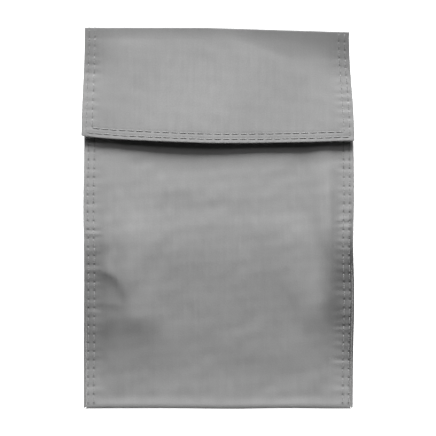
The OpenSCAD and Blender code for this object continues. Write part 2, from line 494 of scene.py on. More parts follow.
def front_detail(x, y):
    """Fine relief of the front panel's upper face only: puckers and stitch rows."""
    side_half = front_half(y, x)
    depth_in = half_width(y, x) - np.abs(x)
    along = nearest(y, lower_holes)
    total = side_pucker(x, y, side_half)
    for row in (row_outer, row_inner):
        total = total + row_relief(depth_in - row, along, 1.0)
    hem_holes = holes_between(band_w - half_w, half_w - band_w)
    hem_row = row_relief(y - (y_mouth - hem_w / 2), nearest(x, hem_holes), hem_row_share)
    return total + hem_row * (np.abs(x) < half_w - band_w)


def back_shape(x, y):
    """Lower face of the back panel."""
    side = ease((half_width(y, x) - np.abs(x) - band_w) / back_rise)
    low = ease((y - y_bottom - crease_w) / back_rise)
    top = 1 - fold_lift * ease((y - y_fold + back_rise) / back_rise)
    return seam_low * (1 - side * low * top) + seam_lift(x, y)


def hem(edge):
    """1 where the outer cloth is doubled by a turned-in edge, else 0."""
    return 1 - ease(edge - hem_w)


def half_thickness(edge):
    return shell_t * (1 + hem(edge)) / 2


def rounded(edge, half_t):
    """Half thickness of a cloth near its edge, rounded off to a smooth fold."""
    left = 1 - np.clip((edge + 0.004) / half_t, 0.0, 1.0)
    return half_t * np.sqrt(np.clip(1 - left * left, 0.0, 1.0))


# ---- meshes


def make_piece(name, points, faces, uvs, attributes, material):
    """A smooth mesh object from millimetre points, with a UV map in metres and point attributes."""
    mesh = bpy.data.meshes.new(name)
    mesh.from_pydata((np.asarray(points) * MM).tolist(), [], faces)
    mesh.update()
    layer = mesh.uv_layers.new(name="cloth")
    index = np.zeros(len(mesh.loops), np.int32)
    mesh.loops.foreach_get("vertex_index", index)
    layer.data.foreach_set("uv", (np.asarray(uvs)[index] * MM).astype(np.float32).ravel())
    for key, values in attributes.items():
        held = mesh.attributes.new(key, "FLOAT", "POINT")
        held.data.foreach_set("value", np.asarray(values, np.float32).ravel())
    mesh.polygons.foreach_set("use_smooth", [True] * len(mesh.polygons))
    mesh.materials.append(material)
    piece = bpy.data.objects.new(name, mesh)
    bpy.context.scene.collection.objects.link(piece)
    return piece


def slab_faces(rows, cols):
    """Quads of a closed cloth: an outer grid, then an inner grid with the same rows and columns."""
    half = rows * cols
    r, c = np.arange(rows - 1) * cols, np.arange(cols - 1)
    i = (r[:, None] + c).ravel()
    top = np.stack([i, i + 1, i + cols + 1, i + cols], -1)
    last_row, last_col = half - cols + c, r + cols - 1
    rims = [(c + 1, c), (last_row, last_row + 1), (r, r + cols), (last_col + cols, last_col)]
    rims = [np.stack([a, b, half + b, half + a], -1) for a, b in rims]
    return np.concatenate([top, top[:, ::-1] + half, *rims]).tolist()


def make_cloth(name, outer, inner, uv, attributes, material):
    """A closed cloth from an outer and an inner grid of points of shape (rows, columns, 3)."""
    rows, cols = outer.shape[:2]
    points = np.concatenate([outer.reshape(-1, 3), inner.reshape(-1, 3)])
    uvs = np.concatenate([uv.reshape(-1, 2)] * 2)
    extra = {k: np.concatenate([v.ravel()] * 2) for k, v in attributes.items()}
    return make_piece(name, points, slab_faces(rows, cols), uvs, extra, material)


EDGE_STEPS = [0.0, 0.03, 0.1, 0.22, 0.42, 0.8, 1.25]


def column_places(edge_zone, edge_step, middle_count):
    """Where a cloth's columns lie: distances from each edge, and shares of the middle."""
    near = EDGE_STEPS + list(np.arange(1.7, edge_zone, edge_step))
    return near, np.linspace(-1, 1, middle_count)


def spread_columns(half_left, half_right, near, shares, edge_zone):
    """x of every column for rows whose edges lie at -half_left and half_right."""
    near = np.array(near)
    left = -half_left[:, None] + near[None, :]
    right = half_right[:, None] - near[None, ::-1]
    start = -half_left + edge_zone
    end = half_right - edge_zone
    mid = start[:, None] + (end - start)[:, None] * (shares[None, :] + 1) / 2
    return np.concatenate([left, mid, right], 1)


# ---- outline of the whole bag


# The fold's rise at the left and its dip towards the right, from this y on; how far the edges wander
dip_from = 58.0
fold_up, fold_dip = 0.9, 2.7
wander_x, wander_y = 0.16, 0.12


def settle(points):
    """The outline's unevenness, the same for every piece: the fold dips to the right, edges wander."""
    moved = np.array(points, float)
    x, y = moved[..., 0], moved[..., 1]
    top = ramp(y, dip_from, y_top - dip_from)
    dip = np.clip((x + 8.0) / 84.0, 0.0, 1.2)
    moved[..., 1] = y + top * (fold_up - fold_dip * dip) + wander_y * edge_drift(x) * ease(-y / 60.0)
    moved[..., 0] = x + wander_x * edge_drift(y + 500 * (x > 0)) * ramp(np.abs(x), 40, 30)
    return moved


# ---- pouch, outer face


class Rows:
    """Rows of a cloth's outer face, added part by part: points, inward directions, edges and UVs."""

    def __init__(self, near, shares, zone, inset):
        self.near, self.shares, self.zone, self.inset = near, shares, zone, inset
        self.parts = []

    def columns(self, left, right):
        """x of every point in rows whose edges lie at -left and right, less the inset."""
        return spread_columns(left - self.inset, right - self.inset, self.near, self.shares, self.zone)

    def add(self, x, y, z, inward, edge, path):
        """One part; inward is (y, z), path the length along the cloth."""
        inward = np.stack(np.broadcast_arrays(0.0 * x, *inward), -1)
        self.parts.append((np.stack([x, y, z], -1), inward, edge, np.stack([x, path], -1)))

    def joined(self):
        return [np.concatenate(part) for part in zip(*self.parts)]


# A power of 1 would make the bend at the bottom round; this makes it squarer
bend_power = 0.45
bend_out = 0.4


def pouch_rows(front_ys, bend_angles, back_ys, near, shares, zone, inset):
    """Outer face of the pouch's cloth, and which of its rows are in front."""
    rows = Rows(near, shares, zone, inset)
    x = rows.columns(front_half(front_ys, -1), front_half(front_ys, 1))
    y = np.broadcast_to(front_ys[:, None], x.shape)
    z = front_shape(x, y) + front_relief(x, y)
    edge = np.minimum(front_half(y, x) - np.abs(x), y_mouth - y)
    rows.add(x, y, z, (0.0, -1.0), edge, y_mouth - y)

    open_share = 1 - bend_angles / math.pi
    left = half_width(y_bottom, -1) - front_inset(y_bottom, -1) * open_share
    right = half_width(y_bottom, 1) - front_inset(y_bottom, 1) * open_share
    x = rows.columns(left, right)
    a = np.broadcast_to(bend_angles[:, None], x.shape)
    y = y_bend - bend_out - bottom_r * np.abs(np.sin(a)) ** bend_power
    z = bottom_mid + bottom_r * np.sign(np.cos(a)) * np.abs(np.cos(a)) ** bend_power
    edge = np.minimum(x + left[:, None], right[:, None] - x)
    rows.add(x, y, z, (np.sin(a), -np.cos(a)), edge, y_mouth - y_bend + bottom_r * a)

    x = rows.columns(half_width(back_ys, -1), half_width(back_ys, 1))
    y = np.broadcast_to(back_ys[:, None], x.shape)
    edge = half_width(y, x) - np.abs(x)
    path = y_mouth - y_bend + bottom_r * math.pi + y - y_bend
    rows.add(x, y, back_shape(x, y), (0.0, 1.0), edge, path)

    is_front = np.zeros((len(front_ys) + len(bend_angles) + len(back_ys), 1))
    is_front[: len(front_ys)] = 1.0
    return rows.joined() + [is_front]


def cloth_layers(points, inward, edge, detail):
    """Outer and inner grid of the outer cloth."""
    half_t = half_thickness(edge)
    round_t = rounded(edge, half_t)
    outer = points + inward * (half_t - round_t - detail)[..., None]
    inner = points + inward * (half_t + round_t)[..., None]
    return settle(outer), settle(inner)


def lining_layers(points, inward, edge, inset):
    """Outer and inner grid of the lining, which lies against the inside of the outer cloth."""
    half_t = lining_t / 2
    round_t = rounded(edge - inset, half_t)
    middle_depth = 2 * half_thickness(edge) + air + half_t
    outer = points + inward * (middle_depth - round_t)[..., None]
    inner = points + inward * (middle_depth + round_t)[..., None]
    return settle(outer), settle(inner)


# ---- flap, outer face

fold_r = y_top - y_fold
# The fold seen from the side: flat below, a soft corner, a wall, and a tight corner above
fold_low_r, fold_top_r = 3.2, 0.9
fold_s = fold_top_r - fold_r


def flap_end(x):
    """Length of the flap along a line at x: its corners are a little shorter, the left one more."""
    r = np.abs(x) / flap_half_w
    left = 3.3 * r**1.3 + 1.1 * r**8
    right = 1.5 * r**2
    return flap_mid_l + 0.2 - np.where(x > 0, right, left)


# The roll at the fold, on the left and how much more on the right; the free edge's lift and waves
roll_h_left, roll_h_more = 0.3, 0.9
roll_l_left, roll_l_more = 7.0, 11.0
edge_lift, edge_wander = 0.5, 0.34
flap_broad_h, flap_middle_h, flap_fine_h = 0.03, 0.008, 0.01


def flap_shape(x, s):
    """Upper face of the flap: nearly level, with a soft roll at the fold that is higher on the right."""
    lean = ramp(x, 5, 45)
    roll_h = roll_h_left + roll_h_more * lean
    roll_l = roll_l_left + roll_l_more * lean
    roll = roll_h * np.clip(1 - (s - fold_s) / roll_l, 0.0, 1.4) ** 1.8
    side = ease((np.abs(x) - flap_flat_x) / (flap_half_w - flap_flat_x))
    drop = flap_drop * side * ease((s + 4.0) / flap_rise)
    lift = ramp(s, 14, flap_mid_l - 10.0)
    wander = edge_wander * np.cos((x + 18) / 15.5) * lift * (1 - side)
    return flap_h + roll - drop + edge_lift * lift + wander


def flap_relief(x, s):
    """Soft relief of the flap away from its seams: looseness and small ripples."""
    calm = ease(s / 8.0)
    low = ramp(flap_end(x) - s, 7, 10)
    side = ramp(flap_half(s, x) - np.abs(x), 7, 10)
    free = calm * low * side
    taped = under_tape(x, y_fold - s)
    soft = flap_broad_h * flap_broad(x, s) + flap_middle_h * flap_middle(x, s)
    return free * soft * (1 - 0.8 * taped) + flap_fine_h * fine(x, s)


flap_side_holes = holes_between(fold_s + 0.8, flap_mid_l - row_low_outer - 1.5)


def flap_detail(x, s):
    """Fine relief of the flap's upper face only: puckers and stitch rows."""
    side_in = flap_half(s, x) - np.abs(x)
    low_in = flap_end(x) - s
    step = flap_side_holes[1] - flap_side_holes[0]
    along_side = nearest(s, flap_side_holes)
    along_low = (x / pitch - np.round(x / pitch)) * pitch
    total = 0.0
    for off, low_off in ((row_outer, row_low_outer), (row_inner, row_low_inner)):
        above = ease((low_in - low_off + 0.4) / 0.8)
        within = ease((side_in - off + 0.4) / 0.8)
        total = total + row_relief(side_in - off, along_side, flap_row_share) * above
        total = total + row_relief(low_in - low_off, along_low, flap_row_share) * within
    strength = flap_pucker_h * (1 + 0.6 * pucker_strength(s + 700 * (x > 0)))
    phase = math.pi + pucker_drift(s + 900 * (x > 0))
    ripples = strength * pucker(side_in, s - flap_side_holes[0], step, phase)
    low_phase = math.pi + pucker_drift(x + 1300)
    ripples = ripples + flap_pucker_h * pucker(low_in, x, pitch, low_phase)
    return total + ripples * ease(s / 3.0)


def fold_path(share, low, top):
    """Outer face over the fold at a share of its way: y, z, the outward direction and the length so far."""
    corner = 0.5 * math.pi * fold_low_r
    lead = fold_r - fold_low_r
    wall = top - low - fold_low_r - fold_top_r
    tight = 0.5 * math.pi * fold_top_r
    run = share * (lead + corner + wall + tight)
    a = np.clip((run - lead) / fold_low_r, 0.0, 0.5 * math.pi)
    b = np.clip((run - lead - corner - wall) / fold_top_r, 0.0, 0.5 * math.pi)
    up = np.clip(run - lead - corner, 0.0, wall)
    y = y_fold + np.clip(run, 0.0, lead) + fold_low_r * np.sin(a) - fold_top_r * (1 - np.cos(b))
    z = low + fold_low_r * (1 - np.cos(a)) + up + fold_top_r * np.sin(b)
    return y, z, np.sin(a) * np.cos(b), np.where(up > 0, np.sin(b), -np.cos(a)), run


fold_length = fold_r - fold_low_r + 0.5 * math.pi * (fold_low_r + fold_top_r)
fold_length = fold_length + flap_h - fold_low_r - fold_top_r


def strip_half(y, side):
    """Half width of the back panel above the dividing line, running into the flap's."""
    top_half = np.where(side > 0, flap_right_top, flap_left_top)
    share = ease((y - y_split) / (y_fold - y_split))
    return half_width(y, side) + (top_half - half_width(y_fold, side)) * share


def flap_rows(strip_ys, fold_shares, flap_s, near, shares, zone, inset, end_inset):
    """Outer face of the cloth from under the mouth, over the fold and down to the flap's free edge."""
    rows = Rows(near, shares, zone, inset)
    x = rows.columns(strip_half(strip_ys, -1), strip_half(strip_ys, 1))
    y = np.broadcast_to(strip_ys[:, None], x.shape)
    rows.add(x, y, back_shape(x, y), (0.0, 1.0), strip_half(y, x) - np.abs(x), y - y_split)
    flat = np.zeros(x.shape)

    same = np.ones(len(fold_shares))
    x = rows.columns(flap_left_top * same, flap_right_top * same)
    a = np.broadcast_to(fold_shares[:, None], x.shape)
    low = back_shape(x, np.full_like(x, y_fold))
    y, z, out_y, out_z, run = fold_path(a, low, flap_shape(x, fold_s + 0 * x))
    edge = flap_half(0 * x, x) - np.abs(x)
    strip_l = y_fold - y_split
    rows.add(x, y, z, (-out_y, -out_z), edge, strip_l + run)
    bent = np.zeros(x.shape)

    x = rows.columns(flap_half(flap_s, -1), flap_half(flap_s, 1))
    base = flap_s[:, None]
    pull = ease((base - 12.0) / (flap_mid_l - 20.0))
    s = base + (flap_end(x) - flap_mid_l) * pull - end_inset * pull
    z = flap_shape(x, s) + flap_relief(x, s)
    edge = np.minimum(flap_half(s, x) - np.abs(x), flap_end(x) - s)
    rows.add(x, y_fold - s, z, (0.0, -1.0), edge, strip_l + fold_length + s - fold_s)
    return rows.joined() + [np.concatenate([flat, bent, flap_detail(x, s)])]


# ---- materials


class Nodes:
    """Short ways to add and join shader nodes."""

    def __init__(self, name):
        self.material = bpy.data.materials.new(name)
        self.material.use_nodes = True
        self.tree = self.material.node_tree
        self.tree.nodes.clear()
        self.surface = self.tree.nodes.new("ShaderNodeBsdfPrincipled")
        end = self.tree.nodes.new("ShaderNodeOutputMaterial")
        self.join(self.surface.outputs["BSDF"], end.inputs["Surface"])

    def join(self, out, into):
        self.tree.links.new(out, into)

    def give(self, into, value):
        """Puts a plain value, or another node's output, on an input."""
        if isinstance(value, bpy.types.NodeSocket):
            self.join(value, into)
        else:
            into.default_value = value

    def set(self, **values):
        """Inputs of the surface."""
        for key, value in values.items():
            self.give(self.surface.inputs[key.replace("_", " ")], value)

    def add(self, kind, inputs, **settings):
        node = self.tree.nodes.new("ShaderNode" + kind)
        for key, value in settings.items():
            setattr(node, key, value)
        for key, value in inputs.items():
            self.give(node.inputs[key], value)
        return node.outputs

    def place(self):
        return self.add("UVMap", {}, uv_map="cloth")["UV"]

    def attribute(self, name):
        return self.add("Attribute", {}, attribute_name=name)["Fac"]

    def stretch(self, place, x, y, z=1.0):
        return self.add("VectorMath", {0: place, 1: (x, y, z)}, operation="MULTIPLY")[0]

    def noise(self, place, scale, detail=3.0, rough=0.55):
        inputs = {"Vector": place, "Scale": scale, "Detail": detail, "Roughness": rough}
        return self.add("TexNoise", inputs)["Fac"]

    def bands(self, place, scale, axis, wobble):
        inputs = {"Vector": place, "Scale": scale, "Distortion": wobble}
        inputs |= {"Detail": 1.0, "Detail Scale": 0.6}
        return self.add("TexWave", inputs, wave_type="BANDS", bands_direction=axis)["Fac"]

    def weave(self, place, scale, wobble):
        """Threads along and across the cloth: they are 0.314 / scale metres apart."""
        along = self.bands(place, scale, "X", wobble)
        return self.maths("MULTIPLY", along, self.bands(place, scale, "Y", wobble))

    def reach(self, value, low, high, from_low=0.0, from_high=1.0):
        inputs = {"Value": value, "From Min": from_low, "From Max": from_high}
        inputs |= {"To Min": low, "To Max": high}
        return self.add("MapRange", inputs)["Result"]

    def maths(self, how, a, b):
        return self.add("Math", {0: a, 1: b}, operation=how)[0]

    def weighted(self, *pairs):
        """The sum of values, each times its weight."""
        total = None
        for value, weight in pairs:
            part = self.maths("MULTIPLY", value, weight)
            total = part if total is None else self.maths("ADD", total, part)
        return total

    def tint(self, value, dark, light):
        return self.add("Mix", {"Factor": value, "A": dark, "B": light}, data_type="RGBA")["Result"]

    def bump(self, height, strength, distance, under=None):
        inputs = {"Strength": strength, "Distance": distance, "Height": height}
        if under is not None:
            inputs["Normal"] = under
        return self.add("Bump", inputs)["Normal"]


def grey(level, warm=0.0):
    return (level * (1 + warm), level, level * (1 - warm), 1.0)


def coated_cloth_material(name, level, metal, rough):
    """Tightly woven glass cloth with a satin grey coating."""
    n = Nodes(name)
    place = n.place()
    weave = n.weave(place, 700.0, 0.4)
    streaks = n.noise(n.stretch(place, 1.0, 0.045), 650.0, 3.0, 0.6)
    slubs = n.noise(n.stretch(place, 0.06, 1.0), 420.0, 2.0, 0.5)
    cloud = n.noise(place, 26.0, 4.0, 0.6)
    grain = n.noise(place, 2600.0, 2.0, 0.6)
    speckle = n.maths("SUBTRACT", n.noise(place, 1500.0, 1.0, 0.5), 0.5)
    worn = n.maths("MULTIPLY", n.attribute("wear_and_shade"), grain)
    tone = n.weighted((streaks, 0.45), (cloud, 0.4), (slubs, 0.15), (speckle, 1.6), (worn, 0.5))
    colour = n.tint(n.reach(tone, 0.0, 1.0, 0.3, 0.85), grey(level * 0.96), grey(level * 1.04))
    # Painted shade: darker along the lower side seams, in their holes, under the folds and in a line along
    # the right edge
    colour = n.tint(n.attribute("painted_shade"), colour, grey(level * 0.3))
    # The fold's wall that faces the key light has no metallic shine and is painted darker: painted shade
    # that keeps it from burning out to white
    painted_fold_shade = n.attribute("painted_fold_shade")
    colour = n.tint(painted_fold_shade, colour, grey(0.08))
    shine = n.weighted((cloud, 0.6), (streaks, 0.4))
    near = n.bump(n.weighted((weave, 0.5), (streaks, 0.25)), 0.22, 0.00008)
    lumps = n.maths("ADD", cloud, n.maths("MULTIPLY", slubs, 0.2))
    n.set(
        Base_Color=colour,
        Metallic=n.reach(painted_fold_shade, metal, 0.0),
        Roughness=n.reach(shine, rough - 0.02, rough + 0.03, 0.25, 0.75),
        Normal=n.bump(lumps, 0.1, 0.0002, near),
        IOR=1.5,
        Specular_Tint=(0.05, 0.05, 0.05, 1.0),
        Sheen_Weight=0.02,
    )
    return n.material


def lining_material():
    """Plain woven glass cloth with a duller, darker face."""
    n = Nodes("woven_lining")
    place = n.place()
    weave = n.weave(place, 420.0, 0.6)
    cloud = n.noise(place, 40.0, 4.0, 0.6)
    fibre = n.noise(n.stretch(place, 1.0, 0.1), 900.0, 2.0, 0.6)
    tone = n.weighted((weave, 0.4), (cloud, 0.35), (fibre, 0.3))
    n.set(
        Base_Color=n.tint(tone, grey(0.13, 0.01), grey(0.22, 0.01)),
        Roughness=n.reach(cloud, 0.62, 0.8),
        Normal=n.bump(n.maths("ADD", weave, fibre), 0.5, 0.0001),
        Metallic=0.1,
        Sheen_Weight=0.15,
        Sheen_Roughness=0.5,
    )
    return n.material


def thread_material(name, level):
    """Twisted sewing thread: plies that wind round it, a few loose fibres and a soft shine."""
    n = Nodes(name)
    place = n.place()
    twist = n.bands(place, 520.0, "DIAGONAL", 0.3)
    fibre = n.noise(place, 3000.0, 2.0, 0.6)
    tone = n.weighted((twist, 0.6), (fibre, 0.4))
    n.set(
        Base_Color=n.tint(tone, grey(level * 0.65), grey(level * 1.2)),
        Roughness=n.reach(fibre, 0.45, 0.7),
        Normal=n.bump(twist, 0.6, 0.00006),
        Sheen_Weight=0.2,
    )
    return n.material


def tape_material():
    """Black woven tape, a herringbone of heavy threads with dusty highlights."""
    n = Nodes("woven_tape")
    place = n.place()
    warp = n.bands(place, 500.0, "X", 0.3)
    weft = n.bands(n.stretch(place, 0.5, 1.0), 620.0, "DIAGONAL", 0.3)
    weave = n.maths("MULTIPLY", warp, weft)
    dust = n.noise(place, 300.0, 4.0, 0.7)
    n.set(
        Base_Color=n.tint(n.weighted((weave, 0.5), (dust, 0.4)), grey(0.008), grey(0.045)),
        Roughness=n.reach(dust, 0.55, 0.8),
        Normal=n.bump(weave, 0.7, 0.00012),
        Sheen_Weight=0.2,
    )
    return n.material


def pile_material(name, level, rough):
    """Fine black nylon, with painted shade at the feet of its loops and hooks, lighter towards their tops.
    """
    n = Nodes(name)
    place = n.place()
    fuzz = n.noise(place, 1500.0, 3.0, 0.7)
    patch = n.noise(place, 120.0, 3.0, 0.6)
    tone = n.weighted((fuzz, 0.5), (patch, 0.5))
    # Painted shade: darker at the feet of the loops and hooks, lighter towards their tops
    tone = n.maths("MULTIPLY", tone, n.reach(n.attribute("wear_and_shade"), 0.5, 1.3))
    n.set(
        Base_Color=n.tint(tone, grey(level * 0.5), grey(level * 2.4)),
        Roughness=n.reach(patch, rough, rough + 0.2),
        Normal=n.bump(fuzz, 0.3, 0.00004),
        Sheen_Weight=0.1,
    )
    return n.material


cloth_level = 0.455
cloth_metal = 0.9
cloth_rough = 0.5
outer_material = coated_cloth_material("coated_glass_cloth", cloth_level, cloth_metal, cloth_rough)
inner_material = lining_material()
grey_thread = thread_material("grey_thread", 0.2)
black_thread = thread_material("black_thread", 0.02)
woven_tape = tape_material()
loop_material = pile_material("loop_nylon", 0.02, 0.6)
hook_material = pile_material("hook_nylon", 0.016, 0.35)


# ---- cloth pieces


def wear_of(edge):
    """How much a place is worn: most along the turned edges."""
    return bell(edge, 0.7) * 0.9 + 0.12 * bell(edge - 4.4, 3.0)


# Shares of painted shade: at the two sides, and at holes, folds, the right edge's painted shadow line and
# the left patch
painted_shade_left, painted_shade_right = 0.5, 0.63
painted_shade_holes, painted_shade_folds, painted_shadow_line, painted_shade_patch = 0.5, 0.45, 0.45, 0.3


def painted_shade_of(x, y):
    """How much painted shade darkens the coating: along the lower side seams, in their holes, under folds,
    in a painted shadow line along the right edge and in a patch on the left.
    """
    side = ramp(np.abs(x), 56, 16)
    along = ramp(y, -98, 30) * (1 - ramp(y, -34, 36))
    patchy = 0.75 + 0.25 * middle(x, y)
    depth_in = half_width(y, x) - np.abs(x)
    at_hole = bell(nearest(y, lower_holes), 0.5)
    dots = bell(depth_in - row_outer, 0.45) + bell(depth_in - row_inner, 0.45)
    amount = np.where(x > 0, painted_shade_right, painted_shade_left)
    # Painted shade on the low side of each fold
    folds = 0.0
    for *place, height, below, _ in TUCKS:
        folds = folds + tuck(x, y, *place, min(height, 1.0), below, 1.5)
    # A painted shadow of the front panel's turned edge, just inside the right edge
    line = np.where(x > 0, painted_shadow_line, 0.0) * bell(depth_in - 1.6, 0.7)
    line = line * ramp(y, -112, 20) * (1 - ramp(y, -10, 30))
    # A patch of painted shade on the left side
    patch = np.where(x < 0, painted_shade_patch, 0.0) * bell(x + 58.0, 5.0) * bell(y + 27.0, 15.0)
    total = amount * side * along * patchy + painted_shade_holes * at_hole * dots + painted_shade_folds * folds
    return np.clip(total + line + patch, 0.0, 1.0)


fine_row = (lower_holes[1] - lower_holes[0]) / 7
front_ys = np.concatenate(
    [
        y_mouth - np.array(EDGE_STEPS[:4]),
        np.arange(lower_holes[-1], lower_holes[0] - 0.01, -fine_row),
        [y_bend],
    ]
)
front_ys = front_ys[np.concatenate([[True], np.diff(front_ys) < -0.01])]
bend_angles = np.linspace(0, math.pi, 13)[1:]
back_ys = np.concatenate([np.arange(y_bend + 3, y_mouth - 8, 4.5), [y_split - 2, y_split]])

POUCH_ZONE = 19.0
near, shares = column_places(POUCH_ZONE - 0.5, 0.62, 76)
points, inward, edge, uv, is_front = pouch_rows(
    front_ys, bend_angles, back_ys, near, shares, POUCH_ZONE, 0.0
)
detail = front_detail(points[..., 0], points[..., 1]) * is_front
# Painted shade on the front panel's coating
painted_shade = painted_shade_of(points[..., 0], points[..., 1])
outer, inner = cloth_layers(points, inward, edge, detail)
wear_and_shade = {"wear_and_shade": wear_of(edge), "painted_shade": painted_shade}
pouch_cloth = make_cloth("pouch_cloth", outer, inner, uv, wear_and_shade, outer_material)
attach(pouch_cloth, "pouch")
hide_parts("outer_shell")

# The lining has the same path, one cloth further in
lining_ys = np.concatenate(
    [
        y_mouth - lining_inset - np.array([0.0, 0.05, 0.2, 0.6]),
        np.arange(y_mouth - 3, y_bend + 1, -2.0),
        [y_bend],
    ]
)
LINING_STEPS = [0.0, 0.04, 0.15, 0.4]
near_lining = LINING_STEPS + list(np.arange(1.0, 18.0, 1.2))
lining_shares = np.linspace(-1, 1, 48)
points, inward, edge, uv, is_front = pouch_rows(
    lining_ys, bend_angles, back_ys, near_lining, lining_shares, POUCH_ZONE, lining_inset
)
outer, inner = lining_layers(points, inward, edge, lining_inset)
wear_and_shade = {"wear_and_shade": wear_of(edge)}
pouch_lining = make_cloth("pouch_lining", outer, inner, uv, wear_and_shade, inner_material)
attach(pouch_lining, "pouch")
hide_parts("lining")

# One cloth runs from the back panel over the fold and down the flap
strip_ys = np.concatenate([np.arange(y_split, y_fold - 1.0, 2.2), [y_fold]])
fold_shares = np.linspace(0, 1, 34)[1:-1]
flap_s = np.concatenate(
    [
        np.arange(fold_s, flap_mid_l - 1.4, 0.66),
        flap_mid_l - np.array(EDGE_STEPS[::-1]),
    ]
)
FLAP_ZONE = 10.0
near, shares = column_places(FLAP_ZONE - 0.3, 0.6, 182)
points, inward, edge, uv, detail = flap_rows(
    strip_ys, fold_shares, flap_s, near, shares, FLAP_ZONE, 0.0, 0.0
)
outer, inner = cloth_layers(points, inward, edge, detail)
# Painted shade, and no metallic shine, on the fold's wall that faces the key light
wear_and_shade = {"wear_and_shade": wear_of(edge), "painted_fold_shade": ramp(-inward[..., 1], 0.15, 0.6)}
flap_cloth = make_cloth("flap_cloth", outer, inner, uv, wear_and_shade, outer_material)
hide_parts("flap_shell", "top_fold_shell")

near_lining = LINING_STEPS + list(np.arange(1.0, 9.0, 1.0))
flap_lining_s = np.concatenate(
    [
        np.arange(fold_s, flap_mid_l - 1.0, 2.0),
        flap_mid_l - np.array([0.6, 0.2, 0.05, 0.0]),
    ]
)
shares = np.linspace(-1, 1, 70)
points, inward, edge, uv, detail = flap_rows(
    strip_ys, fold_shares, flap_lining_s, near_lining, shares, FLAP_ZONE, lining_inset, lining_inset
)
outer, inner = lining_layers(points, inward, edge, lining_inset)
wear_and_shade = {"wear_and_shade": wear_of(edge)}
flap_lining_cloth = make_cloth("flap_lining_cloth", outer, inner, uv, wear_and_shade, inner_material)
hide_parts("flap_lining", "top_fold_lining")


def bend_at_fold(piece):
    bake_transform(piece)


bend_at_fold(flap_cloth)
bend_at_fold(flap_lining_cloth)


# ---- stitches


class Strands:
    """Many short round strands gathered into one mesh."""

    def __init__(self, sides=7):
        self.sides = sides
        self.points, self.faces, self.uvs, self.wear_and_shade = [], [], [], []
        self.count = 0

    def add(self, path, radii, wear_and_shade=None):
        path, radii = np.asarray(path, float), np.asarray(radii, float)
        n = len(path)
        along = np.gradient(path, axis=0)
        along /= np.linalg.norm(along, axis=1)[:, None] + 1e-12
        chord = path[-1] - path[0]
        level = abs(chord[2]) < 0.7 * np.linalg.norm(chord) + 1e-9
        first = np.cross(along, (0.0, 0.0, 1.0) if level else (0.3, 1.0, 0.0))
        first /= np.linalg.norm(first, axis=1)[:, None] + 1e-12
        second = np.cross(along, first)
        turn = np.linspace(0, 2 * math.pi, self.sides, endpoint=False)
        c, s = np.cos(turn)[None, :, None], np.sin(turn)[None, :, None]
        ring = first[:, None] * c + second[:, None] * s
        self.points.append((path[:, None] + ring * radii[:, None, None]).reshape(-1, 3))
        length = np.concatenate([[0], np.cumsum(np.linalg.norm(np.diff(path, axis=0), axis=1))])
        u = np.broadcast_to(turn[None, :] * thread_r, (n, self.sides))
        v = np.broadcast_to(length[:, None], (n, self.sides))
        self.uvs.append(np.stack([u + self.count * 0.37, v + self.count * 0.11], -1).reshape(-1, 2))
        # Per point: wear on the cloth, or painted shade from foot to top on the pile; a ramp along the
        # strand when not given
        shade = np.linspace(0, 1, n) if wear_and_shade is None else wear_and_shade
        self.wear_and_shade.append(np.repeat(shade, self.sides))
        base, s = self.count, self.sides
        for i in range(n - 1):
            for k in range(s):
                a, b = base + i * s + k, base + i * s + (k + 1) % s
                self.faces.append((a, b, b + s, a + s))
        self.faces.append(tuple(range(base + s - 1, base - 1, -1)))
        self.faces.append(tuple(range(base + (n - 1) * s, base + n * s)))
        self.count += n * s

    def make(self, name, material):
        points = settle(np.concatenate(self.points))
        uvs, wear_and_shade = np.concatenate(self.uvs), np.concatenate(self.wear_and_shade)
        return make_piece(name, points, self.faces, uvs, {"wear_and_shade": wear_and_shade}, material)


thread_rng = np.random.default_rng(77)

# One stitch: a low arch over the cloth that dives into its holes and is pulled thinner there
stitch_steps = np.linspace(0, 1, 10)
from_end = np.abs(2 * stitch_steps - 1)
stitch_lift = 0.9 * thread_r * (1 - from_end**6) - 0.42 * from_end**9
stitch_r = thread_r * (1 - 0.25 * from_end**6)
thread_sunk = 0.06
bow_size, radius_spread = 0.05, 0.04


def stitch_path(a, b, face, up):
    """One stitch from hole a to b. face(x, y) is the cloth's height; up is 1 on an upper face."""
    t = stitch_steps[:, None]
    flat = np.asarray(a)[None, :] * (1 - t) + np.asarray(b)[None, :] * t
    side = np.array([a[1] - b[1], b[0] - a[0]]) / max(1e-9, math.hypot(b[0] - a[0], b[1] - a[1]))
    flat = flat + side[None, :] * (thread_rng.normal(0, bow_size) * np.sin(math.pi * t))
    z = face(flat[:, 0], flat[:, 1]) + up * stitch_lift
    return np.column_stack([flat, z]), stitch_r * (1 + thread_rng.normal(0, radius_spread))


def sew(strands, places, face, up):
    """Stitches through a list of holes, given as (x, y)."""
    for a, b in zip(places[:-1], places[1:]):
        path, radii = stitch_path(a, b, face, up)
        strands.add(path, radii)


def front_face(x, y):
    return front_shape(x, y) + front_relief(x, y) - thread_sunk


def front_under_face(x, y):
    return front_shape(x, y) + front_relief(x, y) - seam_cloth_t


def strip_inner_face(x, y):
    return back_shape(x, y) + seam_cloth_t + 0 * x


def jitter(places, size):
    """Holes that miss their places a little, less along y."""
    return np.asarray(places) + thread_rng.normal(0, size, (len(places), 2)) * [1.0, 0.5]


def sew_side(name, node, side, offset):
    """One row of a side seam: on the front, on the strip above the mouth, and on the back."""
    strands = Strands()
    low = jitter([(side * (half_width(y, side) - offset), y) for y in lower_holes], 0.06)
    high = jitter([(side * (half_width(y, side) - offset), y) for y in upper_holes], 0.06)
    sew(strands, low, front_face, 1)
    sew(strands, high, strip_inner_face, 1)
    sew(strands, low, back_shape, -1)
    sew(strands, high, back_shape, -1)
    piece = strands.make(name, grey_thread)
    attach(piece, "pouch")
    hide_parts(node)
    return piece


